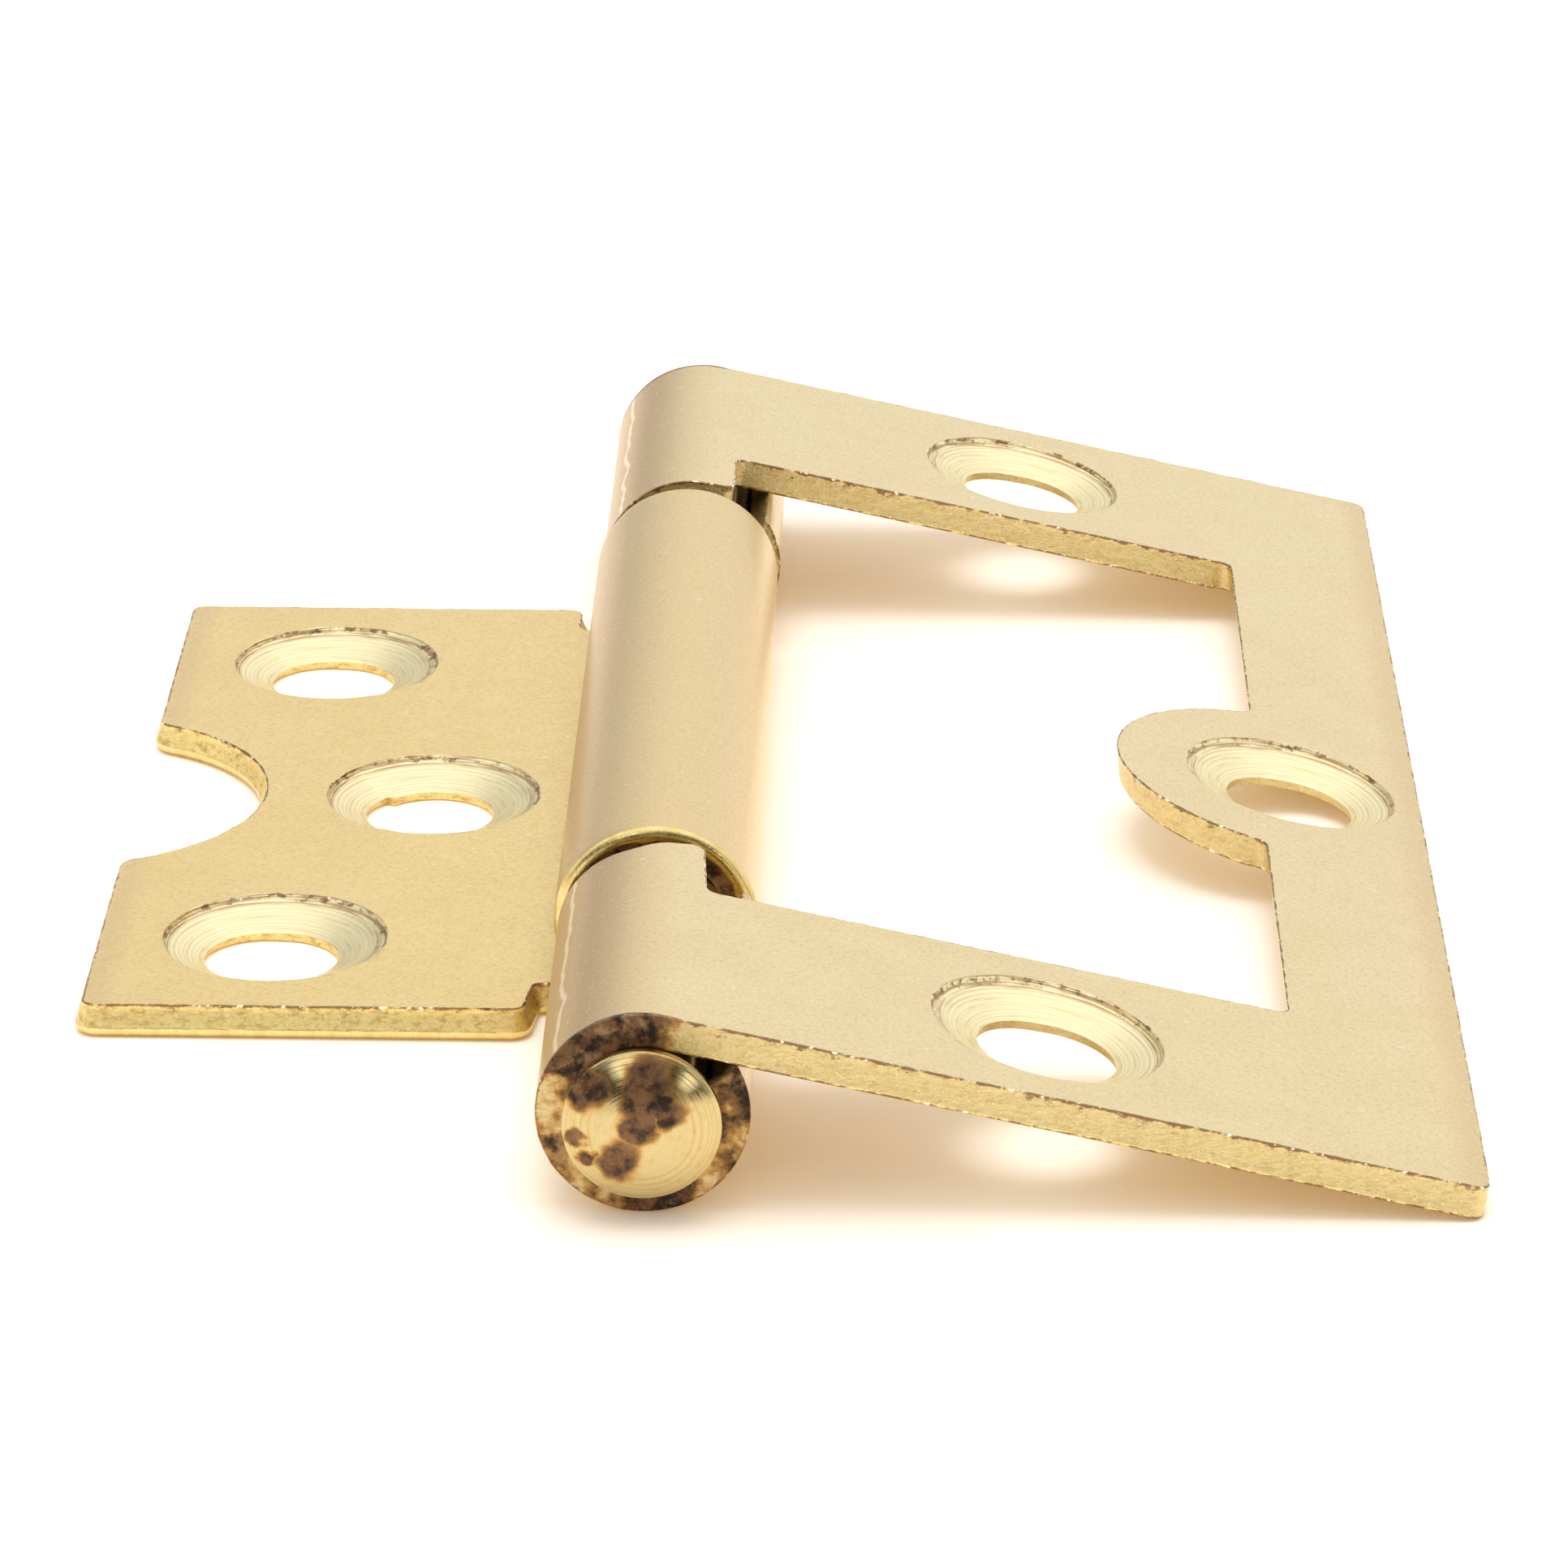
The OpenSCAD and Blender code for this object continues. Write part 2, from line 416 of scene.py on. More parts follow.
def fill_face(points, rims, first, flip):
    """Points inside a face, numbered from first on, and its triangles. A rim is (start, length)."""
    loops = [points[start:start + n] for start, n in rims]
    extra = fill_points(loops)
    index = [np.arange(start, start + n) for start, n in rims]
    index = np.concatenate(index + [first + np.arange(len(extra))])
    faces = []
    for triangle in triangles(loops, extra):
        corners = tuple(int(index[v]) for v in triangle)
        faces.append(corners[::-1] if flip else corners)
    return extra, faces


def build_sheet(name, loops, profiles, burr_outside, place, tarnish_and_gap_shade, roll_r, tangent_w):
    """Leaf mesh. loops are (points, inward), the outline first; place is its matrix in the frame."""
    plan, depths, faces, finish = [], [], [], []
    values = {key: [] for key in ("fleck", "tarnish_and_gap_shade", "lathe", "run")}
    top, bottom = [], []
    total = 0
    for number, (loop, profile) in enumerate(zip(loops, profiles)):
        rings = profile if burr_outside else profile[::-1]
        n = len(loop[0])
        for k, ring in enumerate(rings):
            ring_plan, down, ring_values = edge_ring(loop, number, k, ring, tarnish_and_gap_shade)
            plan.append(ring_plan)
            depths.append(down if burr_outside else SHEET - down)
            for key, value in ring_values.items():
                values[key].append(value)
        for k in range(len(rings) - 1):
            kind = rings[k][5] if burr_outside else rings[k + 1][5]
            faces += strip_faces(total + k * n, total + (k + 1) * n, n)
            finish += [kind] * n
        top.append((total, n))
        bottom.append((total + (len(rings) - 1) * n, n))
        total += len(rings) * n
    edges = np.concatenate(plan)
    for rims, depth, flip in ((top, 0.0, False), (bottom, SHEET, True)):
        extra, filled = fill_face(edges, rims, total, flip)
        faces += filled
        finish += [SATIN] * len(filled)
        plan.append(extra)
        depths.append(np.full(len(extra), depth))
        for key in values:
            values[key].append(np.zeros(len(extra)))
        total += len(extra)
    plan, depths = np.concatenate(plan), np.concatenate(depths)
    along, up = section(plan[:, 0], depths, roll_r, tangent_w)
    local = np.stack([along, plan[:, 1], up], 1)
    attributes = {key: np.concatenate(parts) for key, parts in values.items()}
    attributes["across"] = plan[:, 0]
    return write_mesh(name, local, faces, finish, attributes, place)


def write_mesh(name, points, faces, finish, attributes, place):
    """Object from points in millimetres, with smooth shading that breaks at sharp edges."""
    turned = points @ np.array(place.to_3x3()).T + np.array(place.translation)
    mesh = bpy.data.meshes.new(name)
    mesh.from_pydata((turned * MM).tolist(), [], faces)
    mesh.polygons.foreach_set("material_index", finish)
    mesh.polygons.foreach_set("use_smooth", [True] * len(faces))
    for key, values in attributes.items():
        layer = mesh.attributes.new(key, "FLOAT", "POINT")
        layer.data.foreach_set("value", np.asarray(values, np.float32))
    mesh.validate()
    mesh.set_sharp_from_angle(angle=SHARP_ANGLE)
    made = bpy.data.objects.new(name, mesh)
    bpy.context.scene.collection.objects.link(made)
    return made


# ---------------------------------------------------------------- pin

def pin_profile():
    """Half section of the pin from its middle to the tip of a head, as (radius, distance along)."""
    under = OUTER_HALF + HEAD_GAP
    rim = under + HEAD_CONE
    top = rim + HEAD_RIM
    dome_r = (HEAD_R ** 2 + DOME_H ** 2) / (2 * DOME_H)
    profile = [(PIN_R, 0.0), (PIN_R, under * 0.5), (PIN_R, OUTER_HALF), (PIN_R, under)]
    profile += [(HEAD_R - 0.10, rim - 0.13), (HEAD_R - 0.03, rim - 0.02), (HEAD_R, rim + 0.10)]
    profile += [(HEAD_R, top - 0.12), (HEAD_R - 0.02, top - 0.02)]
    for i in range(1, DOME_RINGS):
        r = HEAD_R * (1 - i / DOME_RINGS)
        h = math.sqrt(dome_r ** 2 - r ** 2) - (dome_r - DOME_H)
        strong = 0.008 if r > 0.62 * HEAD_R else 0.002
        mark = strong * noise.noise(Vector((r * 4.1, 2.7, 0)))
        profile.append((r, top + max(h + mark - 0.02, 0)))
    return profile


def build_pin(name):
    """Pin turned about the Y axis, with a riveted head at each end."""
    half = pin_profile()
    profile = [(r, -h) for r, h in half[:0:-1]] + half
    points, faces, lathe = [], [], []
    n = PIN_POINTS
    for r, h in profile:
        for i in range(n):
            a = 2 * math.pi * i / n
            points.append((r * math.sin(a), h, r * math.cos(a)))
            lathe.append(r)
    for k in range(len(profile) - 1):
        for i in range(n):
            j = (i + 1) % n
            faces.append((k * n + i, k * n + j, (k + 1) * n + j, (k + 1) * n + i))
    for ring, end, flip in ((0, -1, True), (len(profile) - 1, 1, False)):
        tip = len(points)
        points.append((0, end * (profile[-1][1] + 0.001), 0))
        lathe.append(0)
        for i in range(n):
            j = (i + 1) % n
            face = (ring * n + i, ring * n + j, tip)
            faces.append(face[::-1] if flip else face)
    return write_mesh(name, np.array(points), faces, [0] * len(faces), {"lathe": lathe}, PIN_PLACE)


# ---------------------------------------------------------------- materials

def add(tree, kind, inputs=None, **settings):
    """Node with its settings. An input is a number, a colour or another node's socket."""
    made = tree.nodes.new(kind)
    for key, value in settings.items():
        setattr(made, key, value)
    for key, value in (inputs or {}).items():
        if isinstance(value, bpy.types.NodeSocket):
            tree.links.new(value, made.inputs[key])
        else:
            made.inputs[key].default_value = value
    return made


def vector_maths(tree, operation, inputs, result="Vector"):
    """Result of one sum on vectors."""
    return add(tree, "ShaderNodeVectorMath", inputs, operation=operation).outputs[result]


def spots(tree, where, scale, detail=2.0, rough=0.5, stretch=None):
    """Noise from 0 to 1 with so many features per millimetre."""
    if stretch:
        where = vector_maths(tree, "MULTIPLY", {0: where, 1: stretch})
    inputs = {"Vector": where, "Scale": scale, "Detail": detail, "Roughness": rough}
    return add(tree, "ShaderNodeTexNoise", inputs).outputs["Fac"]


def ramp(tree, value, low, high, to_low=0.0, to_high=1.0):
    """Smooth step from to_low to to_high as value goes from low to high."""
    inputs = {"Value": value, "From Min": low, "From Max": high, "To Min": to_low, "To Max": to_high}
    return add(tree, "ShaderNodeMapRange", inputs, interpolation_type="SMOOTHSTEP").outputs["Result"]


def maths(tree, operation, a, b=0.0):
    """Result of one sum on numbers or sockets."""
    return add(tree, "ShaderNodeMath", {0: a, 1: b}, operation=operation).outputs[0]


def blend(tree, share, a, b):
    """Colour a turned into colour b by share."""
    made = add(tree, "ShaderNodeMix", data_type="RGBA")
    for socket, value in zip((made.inputs[0], made.inputs[6], made.inputs[7]), (share, a, b)):
        if isinstance(value, bpy.types.NodeSocket):
            tree.links.new(value, socket)
        else:
            socket.default_value = value
    return made.outputs[2]


def attribute(tree, name):
    """Value that a mesh keeps for each of its points."""
    return add(tree, "ShaderNodeAttribute", attribute_name=name).outputs["Fac"]


def srgb(r, g, b):
    """Linear colour from a picture's 8-bit one."""
    def linear(v):
        v /= 255
        return v / 12.92 if v <= 0.04045 else ((v + 0.055) / 1.055) ** 2.4
    return (linear(r), linear(g), linear(b), 1.0)


OUTER_PALE = (srgb(237, 219, 168), srgb(231, 207, 152))
INNER_PALE = (srgb(245, 219, 146), srgb(238, 207, 128))
ROLLED_TAN = srgb(227, 201, 146)
# Painted shade for the sides of the barrel
ROLLED_PAINTED_SHADE = srgb(188, 147, 80)
# Painted shade along the rounded free edge of a leaf
EDGE_PAINTED_SHADE = srgb(222, 190, 138)
GRAIN_TAN = srgb(206, 176, 120)
OUTER_WALL = srgb(227, 209, 152)
INNER_WALL = srgb(246, 223, 149)
CUT_GOLD = srgb(255, 243, 190)
BAND_BROWN = srgb(160, 116, 66)
WALL_BROWN = srgb(200, 164, 94)
ROLL_GOLD = srgb(235, 215, 148)
ROLL_TAN = srgb(226, 198, 126)
TURNED_GOLD = srgb(255, 243, 198)
PIN_GOLD = srgb(207, 191, 140)
# The stain colours also paint the shade in the gap at the middle knuckle's ends
DARK_STAIN_AND_SHADE = srgb(48, 33, 22)
BROWN_STAIN_AND_SHADE = srgb(128, 92, 58)
AMBER_STAIN_AND_SHADE = srgb(190, 138, 66)
TAN_STAIN_AND_SHADE = srgb(196, 160, 116)
BRIGHT = srgb(255, 246, 220)


def new_material(name):
    """Material, its tree, its shader and the place on the piece in millimetres."""
    material = bpy.data.materials.new(name)
    material.use_nodes = True
    tree = material.node_tree
    tree.nodes.clear()
    output = add(tree, "ShaderNodeOutputMaterial")
    shader = add(tree, "ShaderNodeBsdfPrincipled")
    tree.links.new(shader.outputs[0], output.inputs[0])
    local = add(tree, "ShaderNodeTexCoord").outputs["Object"]
    where = vector_maths(tree, "SCALE", {0: local, "Scale": 1 / MM})
    return material, tree, shader, where


def finish_shader(tree, shader, colour, rough, metal, height, depth):
    """Links what varies over the surface. Depth is the bump's height in metres."""
    bump = add(tree, "ShaderNodeBump", {"Height": height, "Strength": 1.0, "Distance": depth})
    tree.links.new(bump.outputs[0], shader.inputs["Normal"])
    tree.links.new(colour, shader.inputs["Base Color"])
    tree.links.new(rough, shader.inputs["Roughness"])
    if metal is None:
        shader.inputs["Metallic"].default_value = 1.0
    else:
        tree.links.new(metal, shader.inputs["Metallic"])


def stained_and_shaded(tree, where, colour, rough, mask, per_mm=1.6, tan_share=0.6):
    """Colour, roughness and metal share under brown stains where mask is near 1, which on the middle
    knuckle's ends are painted shade of the gap between knuckles.
    """
    shade = ramp(tree, spots(tree, where, per_mm, 5.0, 0.65), 0.40, 0.60)
    stain = blend(tree, shade, DARK_STAIN_AND_SHADE, BROWN_STAIN_AND_SHADE)
    pale = ramp(tree, spots(tree, where, per_mm * 0.8, 4.0, 0.60), 0.50, 0.66, 0.0, tan_share)
    stain = blend(tree, pale, stain, TAN_STAIN_AND_SHADE)
    rim = ramp(tree, mask, 0.02, 0.55)
    core = ramp(tree, mask, 0.25, 0.95)
    colour = blend(tree, maths(tree, "MULTIPLY", rim, 0.8), colour, AMBER_STAIN_AND_SHADE)
    colour = blend(tree, core, colour, stain)
    rough = maths(tree, "ADD", rough, maths(tree, "MULTIPLY", core, 0.18))
    metal = maths(tree, "SUBTRACT", 1.0, maths(tree, "MULTIPLY", core, 0.45))
    return colour, rough, metal


def tarnish_and_gap_shade_mask(tree, where):
    """Patches of tarnish, and of painted gap shade on the middle knuckle's ends, that cover more as the
    tarnish_and_gap_shade attribute grows.
    """
    blotch = spots(tree, where, 0.50, 4.0, 0.60)
    return ramp(tree, maths(tree, "ADD", blotch, attribute(tree, "tarnish_and_gap_shade")), 0.88, 1.16)


def flecked(tree, where, colour, amount):
    """Brown crumbs and painted glints (bright sparks) along a sharp edge, where amount is above zero."""
    crumbs = spots(tree, where, 1.6, 5.0, 0.7, (1.0, 1.0, 1.8))
    brown = ramp(tree, maths(tree, "ADD", crumbs, maths(tree, "MULTIPLY", amount, 0.47)), 0.81, 0.95)
    # Painted glints: bright sparks in the colour stand in for light catching the burr
    sparks = spots(tree, where, 3.0, 2.0, 0.5, (1.0, 1.0, 0.6))
    bright = ramp(tree, maths(tree, "ADD", sparks, maths(tree, "MULTIPLY", amount, 0.35)), 0.92, 1.0)
    colour = blend(tree, maths(tree, "MULTIPLY", brown, 0.9), colour, BROWN_STAIN_AND_SHADE)
    return blend(tree, bright, colour, BRIGHT)


def satin_material(name, pale, edge_w, shade_w, has_run):
    """Satin-plated and lacquered sheet, tanner where it is rolled, with painted shade beside its free
    edge.

    The free edge is at edge_w. Painted shade on the rolled part, standing in for the darker sides
    of the barrel, is deepest a few millimetres past shade_w.
    """
    material, tree, shader, where = new_material(name)
    light, deep = pale
    grain = spots(tree, where, 6.5, 5.0, 0.75)
    speckle = spots(tree, where, 13.0, 2.0, 0.6)
    patch = spots(tree, where, 0.30, 3.0, 0.55)
    across = attribute(tree, "across")
    rolled = ramp(tree, across, 0.6, -1.4, 0.0, 0.75)
    colour = blend(tree, ramp(tree, patch, 0.30, 0.70, 0.1, 0.5), light, deep)
    colour = blend(tree, rolled, colour, ROLLED_TAN)
    # Painted shade: a darker band on the barrel's side from shade_w on, fading out further round
    deep = ramp(tree, across, shade_w, shade_w - 3.0, 0.0, 0.8)
    deep = maths(tree, "MULTIPLY", deep, ramp(tree, across, shade_w - 10.0, shade_w - 5.5, 0.3, 1.0))
    colour = blend(tree, deep, colour, ROLLED_PAINTED_SHADE)
    # Painted shade beside the free edge, where the rounded edge turns from the light
    colour = blend(tree, ramp(tree, across, edge_w - 1.6, edge_w - 0.3, 0.0, 0.55), colour, EDGE_PAINTED_SHADE)
    colour = blend(tree, ramp(tree, grain, 0.44, 0.66, 0.0, 0.48), colour, GRAIN_TAN)
    colour = blend(tree, ramp(tree, speckle, 0.58, 0.72, 0.0, 0.7), colour, BRIGHT)
    ticks = spots(tree, where, 1.0, 1.0, 0.4, (2.0, 3.2, 2.0))
    colour = blend(tree, ramp(tree, ticks, 0.73, 0.79, 0.0, 0.4), colour, BRIGHT)
    specks = ramp(tree, spots(tree, where, 2.6, 2.0, 0.5), 0.78, 0.83, 0.0, 0.5)
    colour = blend(tree, specks, colour, BROWN_STAIN_AND_SHADE)
    colour = flecked(tree, where, colour, attribute(tree, "fleck"))
    if has_run:
        # Painted highlight along a lacquer run, with painted shadow beside it
        run_highlight, shadow = lacquer_run(tree, where, across)
        colour = blend(tree, shadow, colour, WALL_BROWN)
        colour = blend(tree, run_highlight, colour, BRIGHT)
    rough = ramp(tree, grain, 0.25, 0.75, 0.32, 0.44)
    colour, rough, metal = stained_and_shaded(tree, where, colour, rough, tarnish_and_gap_shade_mask(tree, where))
    scratch = spots(tree, where, 1.0, 2.0, 0.5, (0.35, 6.0, 6.0))
    height = maths(tree, "ADD", grain, maths(tree, "MULTIPLY", speckle, 0.5))
    height = maths(tree, "ADD", height, ramp(tree, scratch, 0.70, 0.76, 0.0, -0.5))
    finish_shader(tree, shader, colour, rough, metal, height, 0.000008)
    shader.inputs["Coat Weight"].default_value = 0.35
    shader.inputs["Coat Roughness"].default_value = 0.22
    return material


def lacquer_run(tree, where, across):
    """Painted highlight along a wavering lacquer run on a knuckle's side, and a painted shadow line
    beside it.
    """
    along = add(tree, "ShaderNodeSeparateXYZ", {0: where}).outputs["Y"]
    inputs = {"W": along, "Scale": 0.28, "Detail": 2.0, "Roughness": 0.5}
    sway = add(tree, "ShaderNodeTexNoise", inputs, noise_dimensions="1D").outputs["Fac"]
    centre = maths(tree, "ADD", maths(tree, "MULTIPLY", sway, 1.1), -5.15)
    away = maths(tree, "ABSOLUTE", maths(tree, "SUBTRACT", across, centre))
    beside = maths(tree, "ABSOLUTE", maths(tree, "SUBTRACT", away, 0.24))
    return ramp(tree, away, 0.20, 0.05, 0.0, 0.65), ramp(tree, beside, 0.14, 0.02, 0.0, 0.6)


def striations(tree, per_mm):
    """Uneven lines through the thickness of the sheet, from the distance along its outline."""
    at = maths(tree, "MULTIPLY", attribute(tree, "run"), per_mm)
    inputs = {"W": at, "Scale": 1.0, "Detail": 2.0, "Roughness": 0.6}
    return add(tree, "ShaderNodeTexNoise", inputs, noise_dimensions="1D").outputs["Fac"]


def sheared_material(name, gold, torn):
    """Punched wall of the sheet: torn grain, lines through it, brown crumbs, tarnish by the pin and
    painted shade on the middle knuckle's ends.
    """
    material, tree, shader, where = new_material(name)
    tears = spots(tree, where, 2.6, 6.0, 0.72, (0.8, 0.8, 1.8))
    grit = spots(tree, where, 8.0, 3.0, 0.7)
    lines = striations(tree, 2.2)
    colour = blend(tree, ramp(tree, tears, 0.46, 0.66, 0.0, torn), gold, WALL_BROWN)
    colour = blend(tree, ramp(tree, lines, 0.56, 0.74, 0.0, 0.12), colour, WALL_BROWN)
    colour = blend(tree, ramp(tree, grit, 0.56, 0.74, 0.0, 0.6), colour, BRIGHT)
    colour = blend(tree, ramp(tree, grit, 0.44, 0.30, 0.0, 0.6), colour, WALL_BROWN)
    colour = flecked(tree, where, colour, attribute(tree, "fleck"))
    rough = ramp(tree, tears, 0.3, 0.7, 0.30, 0.44)
    colour, rough, metal = stained_and_shaded(tree, where, colour, rough, tarnish_and_gap_shade_mask(tree, where))
    height = maths(tree, "ADD", tears, maths(tree, "MULTIPLY", grit, 0.6))
    height = maths(tree, "ADD", height, maths(tree, "MULTIPLY", lines, 0.15))
    finish_shader(tree, shader, colour, rough, metal, height, 0.00005)
    return material


def burnished_material():
    """Smooth rolled-over side of a punched edge."""
    material, tree, shader, where = new_material("burnished_brass")
    lines = striations(tree, 1.4)
    grain = spots(tree, where, 5.0, 3.0, 0.6)
    colour = blend(tree, ramp(tree, lines, 0.35, 0.70, 0.0, 0.7), ROLL_GOLD, ROLL_TAN)
    colour = blend(tree, ramp(tree, grain, 0.55, 0.75, 0.0, 0.3), colour, WALL_BROWN)
    colour = flecked(tree, where, colour, attribute(tree, "fleck"))
    rough = ramp(tree, grain, 0.3, 0.7, 0.20, 0.32)
    colour, rough, metal = stained_and_shaded(tree, where, colour, rough, tarnish_and_gap_shade_mask(tree, where))
    finish_shader(tree, shader, colour, rough, metal, maths(tree, "ADD", lines, grain), 0.000008)
    return material


def ring_marks(tree, per_mm):
    """Uneven concentric tool marks from the distance to the turning axis."""
    at = maths(tree, "MULTIPLY", attribute(tree, "lathe"), per_mm)
    inputs = {"W": at, "Scale": 1.0, "Detail": 3.0, "Roughness": 0.7}
    return add(tree, "ShaderNodeTexNoise", inputs, noise_dimensions="1D").outputs["Fac"]


def ring_streaks(tree, per_mm):
    """Short marks along the rings of a turned surface, so many rings per millimetre."""
    at = add(tree, "ShaderNodeCombineXYZ", {0: attribute(tree, "lathe"), 1: attribute(tree, "run")})
    return spots(tree, at.outputs[0], 1.0, 3.0, 0.6, (per_mm, 0.5, 1.0))


def turned_material():
    """Countersink cone: bright fresh cut with ring marks."""
    material, tree, shader, where = new_material("turned_brass")
    marks = ring_marks(tree, 9.0)
    grain = spots(tree, where, 4.0, 4.0, 0.65)
    streaks = ring_streaks(tree, 7.0)
    colour = blend(tree, ramp(tree, marks, 0.44, 0.70, 0.0, 0.35), TURNED_GOLD, WALL_BROWN)
    colour = blend(tree, ramp(tree, grain, 0.48, 0.72, 0.0, 0.4), colour, CUT_GOLD)
    colour = blend(tree, ramp(tree, streaks, 0.52, 0.66, 0.0, 0.36), colour, WALL_BROWN)
    torn = ramp(tree, attribute(tree, "lathe"), SINK_R - TORN_BAND - 0.06, SINK_R - TORN_BAND + 0.04)
    lines = ramp(tree, ring_streaks(tree, 11.0), 0.44, 0.58, 0.0, 0.7)
    colour = blend(tree, maths(tree, "MULTIPLY", torn, lines), colour, BAND_BROWN)
    colour = flecked(tree, where, colour, attribute(tree, "fleck"))
    height = maths(tree, "ADD", marks, maths(tree, "MULTIPLY", grain, 0.6))
    rough = ramp(tree, marks, 0.3, 0.7, 0.26, 0.40)
    finish_shader(tree, shader, colour, rough, None, height, 0.00002)
    return material


# Dark blotches on a riveted head, as (x, height above the pin axis, radius)
HEAD_STAINS = [
    (-2.1, 1.5, 0.95),
    (0.3, 2.1, 0.95),
    (0.0, 1.1, 0.90),
    (0.9, 0.9, 0.80),
    (-0.2, 0.2, 0.85),
    (-0.8, -1.1, 0.95),
    (-2.4, -0.5, 0.45),
    (-2.0, -1.3, 0.40),
]


def head_mask(tree, where):
    """Blotches with ragged edges, at the same places on both heads."""
    inputs = {"Vector": where, "Scale": 0.9, "Detail": 3.0, "Roughness": 0.5}
    ragged = add(tree, "ShaderNodeTexNoise", inputs).outputs["Color"]
    swing = vector_maths(tree, "SUBTRACT", {0: ragged, 1: (0.5, 0.5, 0.5)})
    swing = vector_maths(tree, "SCALE", {0: swing, "Scale": 1.3})
    warped = vector_maths(tree, "ADD", {0: where, 1: swing})
    flat = vector_maths(tree, "MULTIPLY", {0: warped, 1: (1.0, 0.0, 1.0)})
    mask = 0.0
    for x, up, r in HEAD_STAINS:
        away = vector_maths(tree, "DISTANCE", {0: flat, 1: (x, 0.0, BARREL_R + up)}, "Value")
        mask = maths(tree, "MAXIMUM", ramp(tree, away, r * 1.3, r * 0.45), mask)
    return mask


def pin_material():
    """Riveted head: polished rings with dark blotches."""
    material, tree, shader, where = new_material("pin_metal")
    marks = ring_marks(tree, 7.0)
    outside = ramp(tree, attribute(tree, "lathe"), 0.5 * HEAD_R, 0.7 * HEAD_R, 0.25, 0.60)
    lines = maths(tree, "MULTIPLY", ramp(tree, marks, 0.44, 0.66), outside)
    colour = blend(tree, lines, PIN_GOLD, WALL_BROWN)
    grain = spots(tree, where, 3.0, 4.0, 0.65)
    colour = blend(tree, ramp(tree, grain, 0.50, 0.75, 0.0, 0.4), colour, AMBER_STAIN_AND_SHADE)
    rough = ramp(tree, grain, 0.3, 0.7, 0.11, 0.22)
    colour, rough, metal = stained_and_shaded(tree, where, colour, rough, head_mask(tree, where), 1.1, 0.15)
    finish_shader(tree, shader, colour, rough, metal, marks, 0.000007)
    return material


# ---------------------------------------------------------------- hinge

def leaf_place(turn):
    """Matrix of a leaf that is turned about the pin from lying flat towards +X."""
    return Matrix.Translation((0, 0, BARREL_R)) @ Matrix.Rotation(turn, 4, "Y")


PIN_PLACE = Matrix.Translation((0, 0, BARREL_R))


# How brown a knuckle's end is, as (degrees rolled from the flat, amount)
END_TARNISH = [
    (0, 0.66), (20, 0.78), (70, 0.82), (88, 0.48), (105, 0.42),
    (150, 0.47), (180, 0.62), (240, 0.56), (280, 0.56), (315, 0.54),
]


def outer_tarnish(w, y, offset, depth):
    """The end faces of the barrel are brown, and the leaf's ends less and less away from the pin."""
    if abs(y) < OUTER_HALF - 0.5 or offset > 0.2:
        return 0.0
    degrees, amounts = zip(*END_TARNISH)
    if w > 0:
        return amounts[0] * math.exp(-w / 1.8)
    return float(np.interp(math.degrees(-w / BARREL_R), degrees, amounts))


def inner_gap_shade(w, y, offset, depth):
    """Painted shade of the gap between knuckles: the ends of the middle knuckle are brown inside their
    rolled rim.
    """
    if w > -1 or abs(y) < MID_KNUCKLE_HALF - 0.5:
        return 0.0
    return 0.66 * min(1.0, max(0.0, (1.0 - depth) / 0.3))


def build_hinge():
    """Both leaves and the pin, each standing for its CAD node."""
    turned, burnished = turned_material(), burnished_material()
    arm_w, arm_y = ARM_HOLE
    outer_loops = [trace(outer_outline(), OUTLINE_STEP)]
    outer_loops += [hole_outline(*at) for at in ((arm_w, -arm_y), (arm_w, arm_y), (TAB_W, TAB_Y))]
    hole_w, hole_y = INNER_HOLE
    inner_loops = [trace(inner_outline(), OUTLINE_STEP)]
    inner_loops += [hole_outline(*at) for at in ((hole_w, -hole_y), (hole_w, hole_y), (MID_HOLE_W, 0.0))]
    holes = [countersink_profile()] * 3
    outer_edges = [sheared_profile(OUTER_FLARE, 0.10, 0.12, 1.0)] + holes
    inner_edges = [sheared_profile(INNER_FLARE, 0.26, 0.40, 0.35)] + holes
    outer = build_sheet("outer_leaf_sheet", outer_loops, outer_edges, True,
                        leaf_place(TILT), outer_tarnish, BARREL_R, 0.0)
    inner = build_sheet("inner_leaf_sheet", inner_loops, inner_edges, False,
                        leaf_place(math.pi), inner_gap_shade, MID_ROLL_R, MID_SHIFT)
    pin = build_pin("riveted_pin")
    for leaf, pale, edge_w, shade_w, has_run, gold, torn in (
            (outer, OUTER_PALE, OUTER_W, -1.0, True, OUTER_WALL, 0.4),
            (inner, INNER_PALE, INNER_W, -13.5, False, INNER_WALL, 0.8)):
        satin = satin_material("satin_" + leaf.name, pale, edge_w, shade_w, has_run)
        for finish in (satin, sheared_material("sheared_" + leaf.name, gold, torn), turned, burnished):
            leaf.data.materials.append(finish)
    pin.data.materials.append(pin_material())
    for piece, body, cad in ((outer, "outer_leaf", "outer_leaf"), (inner, "inner_leaf", "inner_leaf"),
                             (pin, "outer_leaf", "hinge_pin")):
        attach(piece, body)
        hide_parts(cad)


# ---------------------------------------------------------------- studio

# The studio is in metres and degrees
FLOOR_HALF = 4.0
FLOOR_DROP = 0.00002
LAMP_SIZE = 0.44
LAMP_POWER = 1.75
LAMP_HEIGHT = 0.60
LENS = 154.77
CAMERA_AT = (0.008750, -0.26266, 0.10621)
CAMERA_TURN = (0.926, -21.658, -0.26)


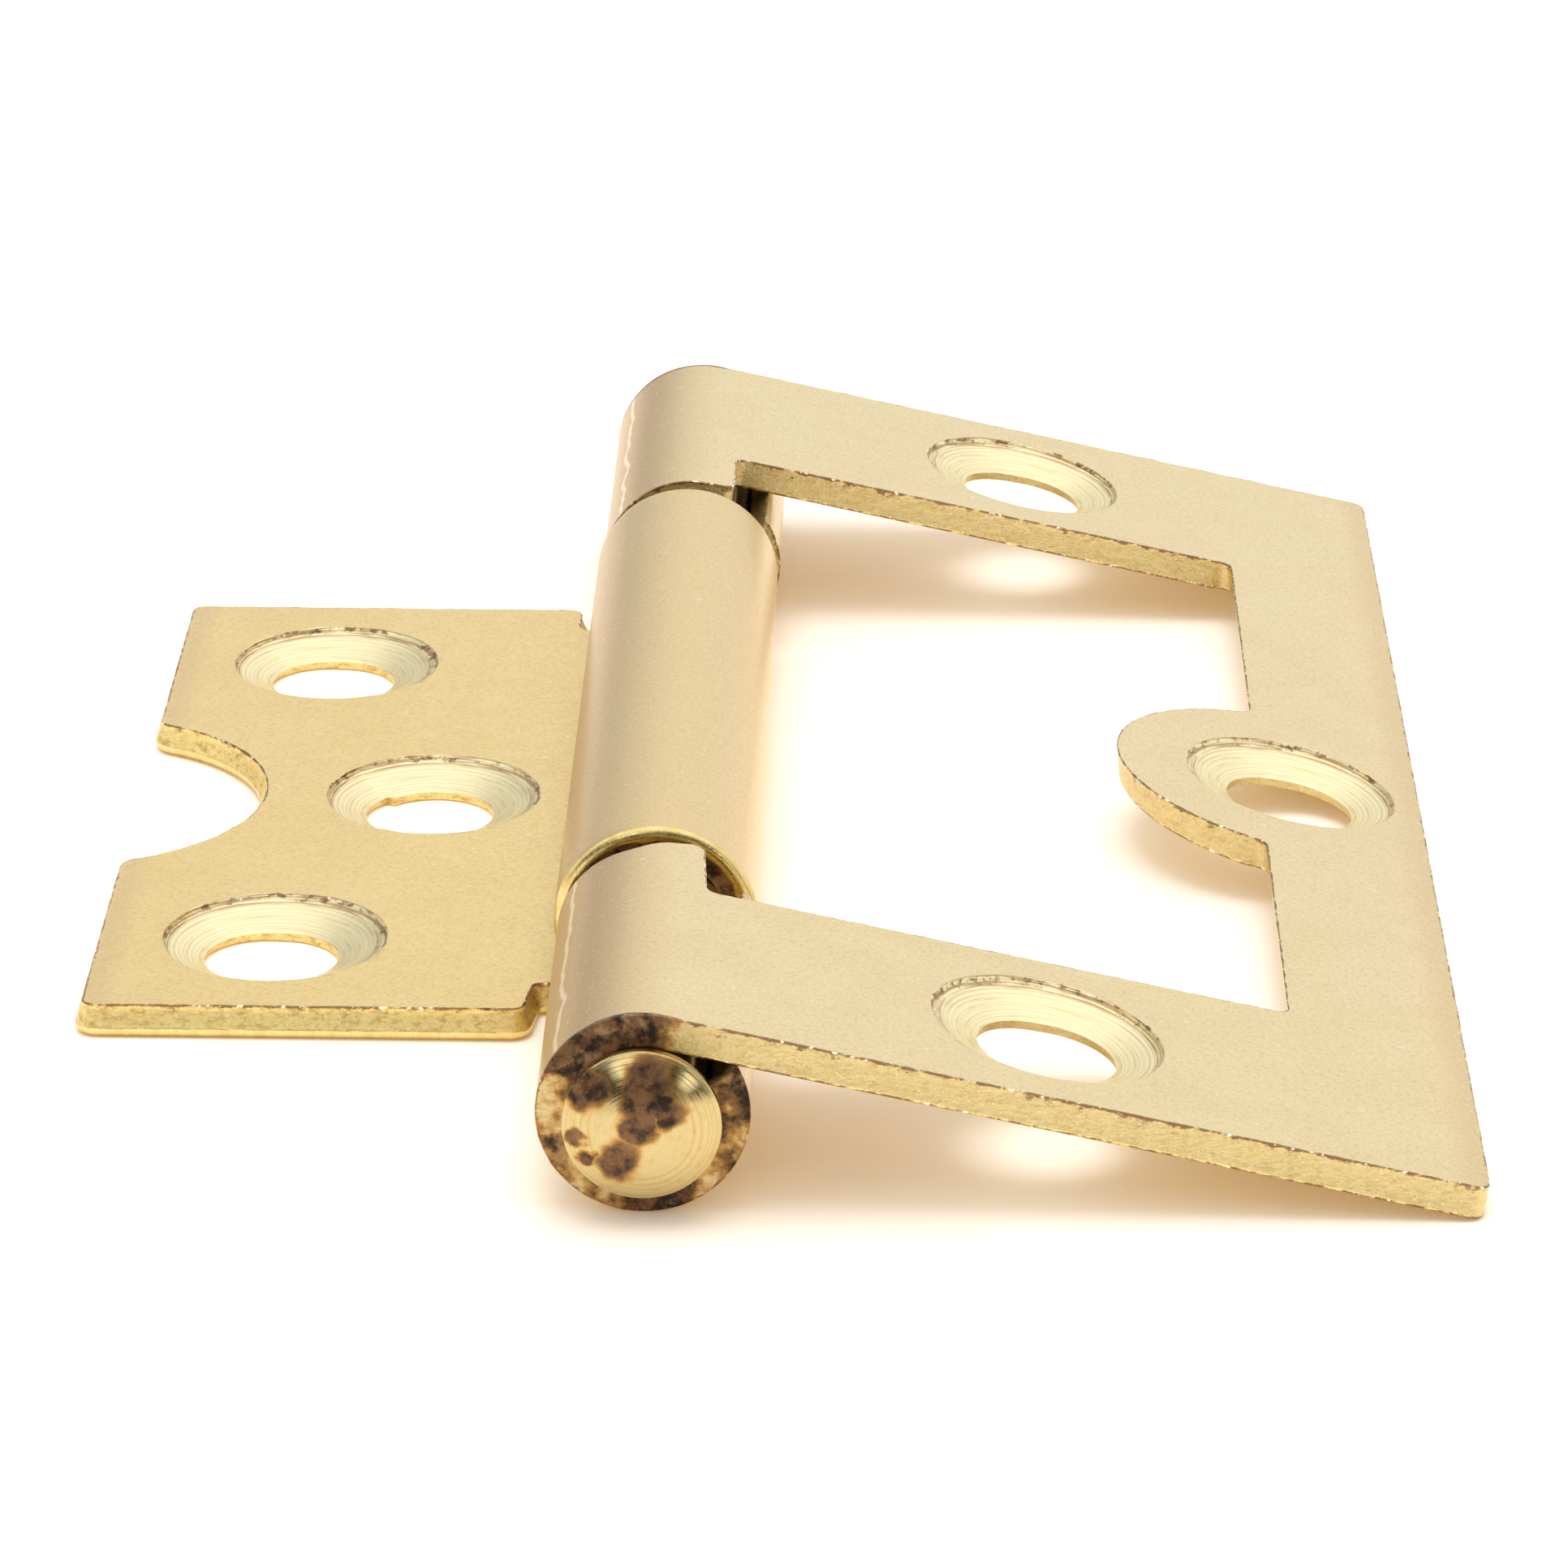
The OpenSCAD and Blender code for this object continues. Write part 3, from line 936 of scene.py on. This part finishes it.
def build_floor():
    """Wide pale table top, just clear of the leaves, with a painted warm glow that lifts its shadows."""
    square = ((-1, -1), (1, -1), (1, 1), (-1, 1))
    corners = [(FLOOR_HALF * x, FLOOR_HALF * y, -FLOOR_DROP) for x, y in square]
    mesh = bpy.data.meshes.new("floor")
    mesh.from_pydata(corners, [], [(0, 1, 2, 3)])
    floor = bpy.data.objects.new("floor", mesh)
    bpy.context.scene.collection.objects.link(floor)
    material = bpy.data.materials.new("table_white")
    material.use_nodes = True
    shader = material.node_tree.nodes["Principled BSDF"]
    shader.inputs["Base Color"].default_value = (0.94, 0.90, 0.845, 1.0)
    # Painted light: a warm glow stands in for light bounced from the brass into the table's shadows
    shader.inputs["Emission Color"].default_value = (0.17, 0.115, 0.055, 1.0)
    shader.inputs["Emission Strength"].default_value = 1.0
    shader.inputs["Roughness"].default_value = 0.5
    mesh.materials.append(material)


def glow(tree, way, azimuth, elevation, spread, strength):
    """Soft round patch of light in the room, azimuth degrees right of straight in front."""
    side, up = math.radians(azimuth), math.radians(elevation)
    aim = (math.sin(side) * math.cos(up), -math.cos(side) * math.cos(up), math.sin(up))
    near = vector_maths(tree, "DOT_PRODUCT", {0: way, 1: aim}, "Value")
    edge = math.cos(math.radians(spread))
    core = math.cos(math.radians(spread * 0.5))
    return ramp(tree, near, edge, core, 0.0, strength)


def build_world():
    """White room: brighter overhead, dimmer at the back left, dark low down behind the camera."""
    world = bpy.data.worlds.new("studio")
    bpy.context.scene.world = world
    world.use_nodes = True
    tree = world.node_tree
    tree.nodes.clear()
    way = add(tree, "ShaderNodeTexCoord").outputs["Generated"]
    axes = add(tree, "ShaderNodeSeparateXYZ", {0: way})
    overhead = ramp(tree, axes.outputs["Z"], 0.50, 0.95, 0.0, 0.30)
    left = ramp(tree, axes.outputs["X"], 0.05, -0.50, 0.0, 0.38)
    back = ramp(tree, axes.outputs["Y"], -0.1, 0.5)
    front = ramp(tree, axes.outputs["Y"], -0.40, -0.75)
    low = ramp(tree, axes.outputs["Z"], 0.80, 0.42, 0.0, 0.90)
    strength = maths(tree, "ADD", overhead, 1.0)
    strength = maths(tree, "SUBTRACT", strength, maths(tree, "MULTIPLY", left, back))
    strength = maths(tree, "SUBTRACT", strength, maths(tree, "MULTIPLY", low, front))
    strength = maths(tree, "ADD", strength, glow(tree, way, -18, 28, 13, 1.5))
    strength = maths(tree, "ADD", strength, glow(tree, way, 36, 14, 9, 1.7))
    inputs = {"Color": (1.0, 0.99, 0.98, 1.0), "Strength": strength}
    background = add(tree, "ShaderNodeBackground", inputs)
    output = add(tree, "ShaderNodeOutputWorld")
    tree.links.new(background.outputs[0], output.inputs[0])


def build_lamp():
    """Round lamp overhead. It lights the table and has no image of its own in the metal."""
    lamp = bpy.data.lights.new("overhead", "AREA")
    lamp.shape = "DISK"
    lamp.size = LAMP_SIZE
    lamp.energy = LAMP_POWER
    made = bpy.data.objects.new("overhead", lamp)
    made.location = (0.0, 0.0, LAMP_HEIGHT)
    made.visible_glossy = False
    bpy.context.scene.collection.objects.link(made)


def build_camera():
    """Long lens from the near side, a little above the table."""
    camera = bpy.data.cameras.new("camera")
    camera.sensor_width = 36.0
    camera.lens = LENS
    camera.clip_start, camera.clip_end = 0.01, 50.0
    made = bpy.data.objects.new("camera", camera)
    yaw, pitch, roll = (math.radians(a) for a in CAMERA_TURN)
    turn = Matrix.Rotation(yaw, 4, "Z") @ Matrix.Rotation(pitch, 4, "X") @ Matrix.Rotation(roll, 4, "Y")
    upright = Matrix.Rotation(math.radians(90), 4, "X")
    made.matrix_world = Matrix.Translation(CAMERA_AT) @ turn @ upright
    bpy.context.scene.collection.objects.link(made)
    bpy.context.scene.camera = made


build_camera()
build_floor()
build_world()
build_lamp()
build_hinge()
bpy.context.scene.view_settings.view_transform = "Standard"
